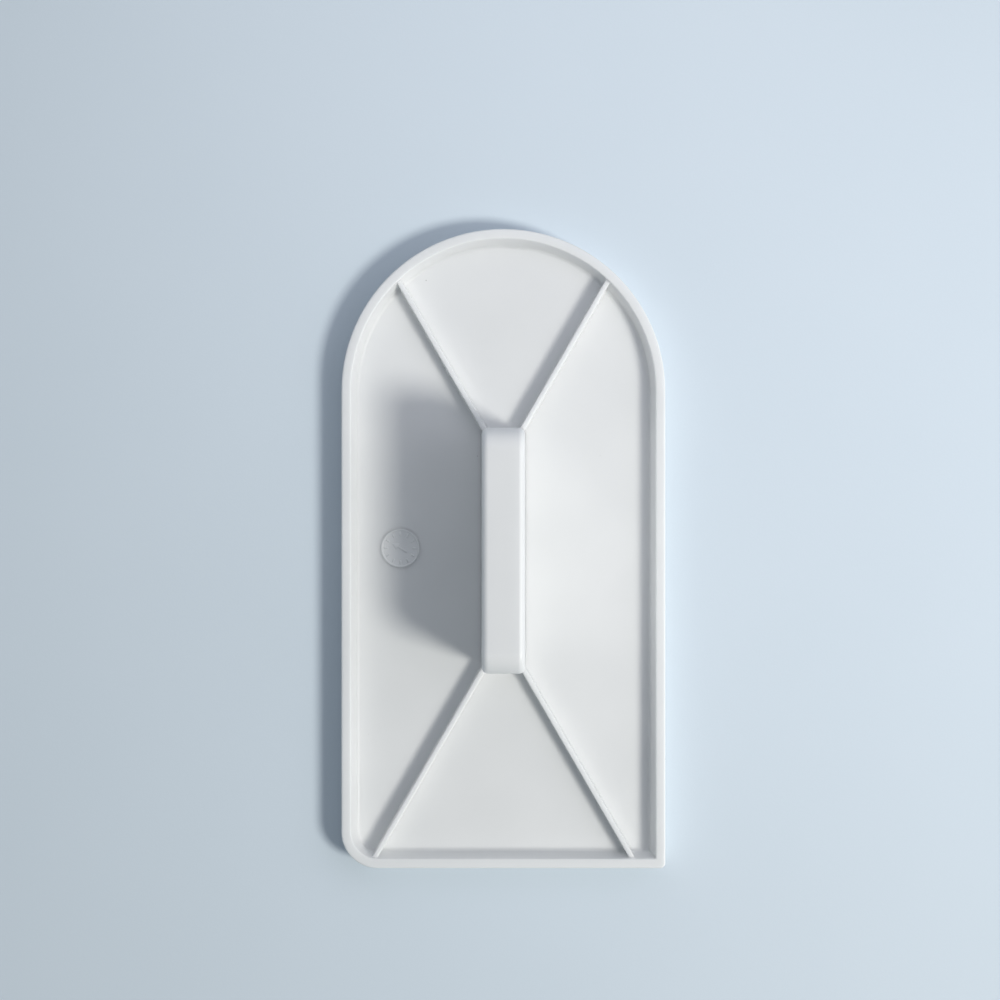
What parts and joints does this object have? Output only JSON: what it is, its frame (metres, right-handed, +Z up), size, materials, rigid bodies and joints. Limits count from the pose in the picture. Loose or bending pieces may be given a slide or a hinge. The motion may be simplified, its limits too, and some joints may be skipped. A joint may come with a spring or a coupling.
{
  "type": "icing smoother",
  "caption": "D-shaped icing smoother with a flat polished sole, a raised rim, diagonal stiffening ribs and an upright hollow handle, for polishing sugarpaste to sharp corners.",
  "frame": {"origin": "on the sole, under the middle of the plate's length and width", "axes": "+X towards the long straight edge, +Y along the plate towards its round end, +Z up out of the sole through the handle"},
  "size_m": [0.076, 0.15, 0.0325],
  "materials": {
    "plate_plastic": "white moulding, satin on the rib side and polished on the sole",
    "handle_plastic": "white moulding, satin"
  },
  "bodies": {
    "root": {"base_plate": "plate_plastic", "handle": "handle_plastic"}
  },
  "joints": []
}
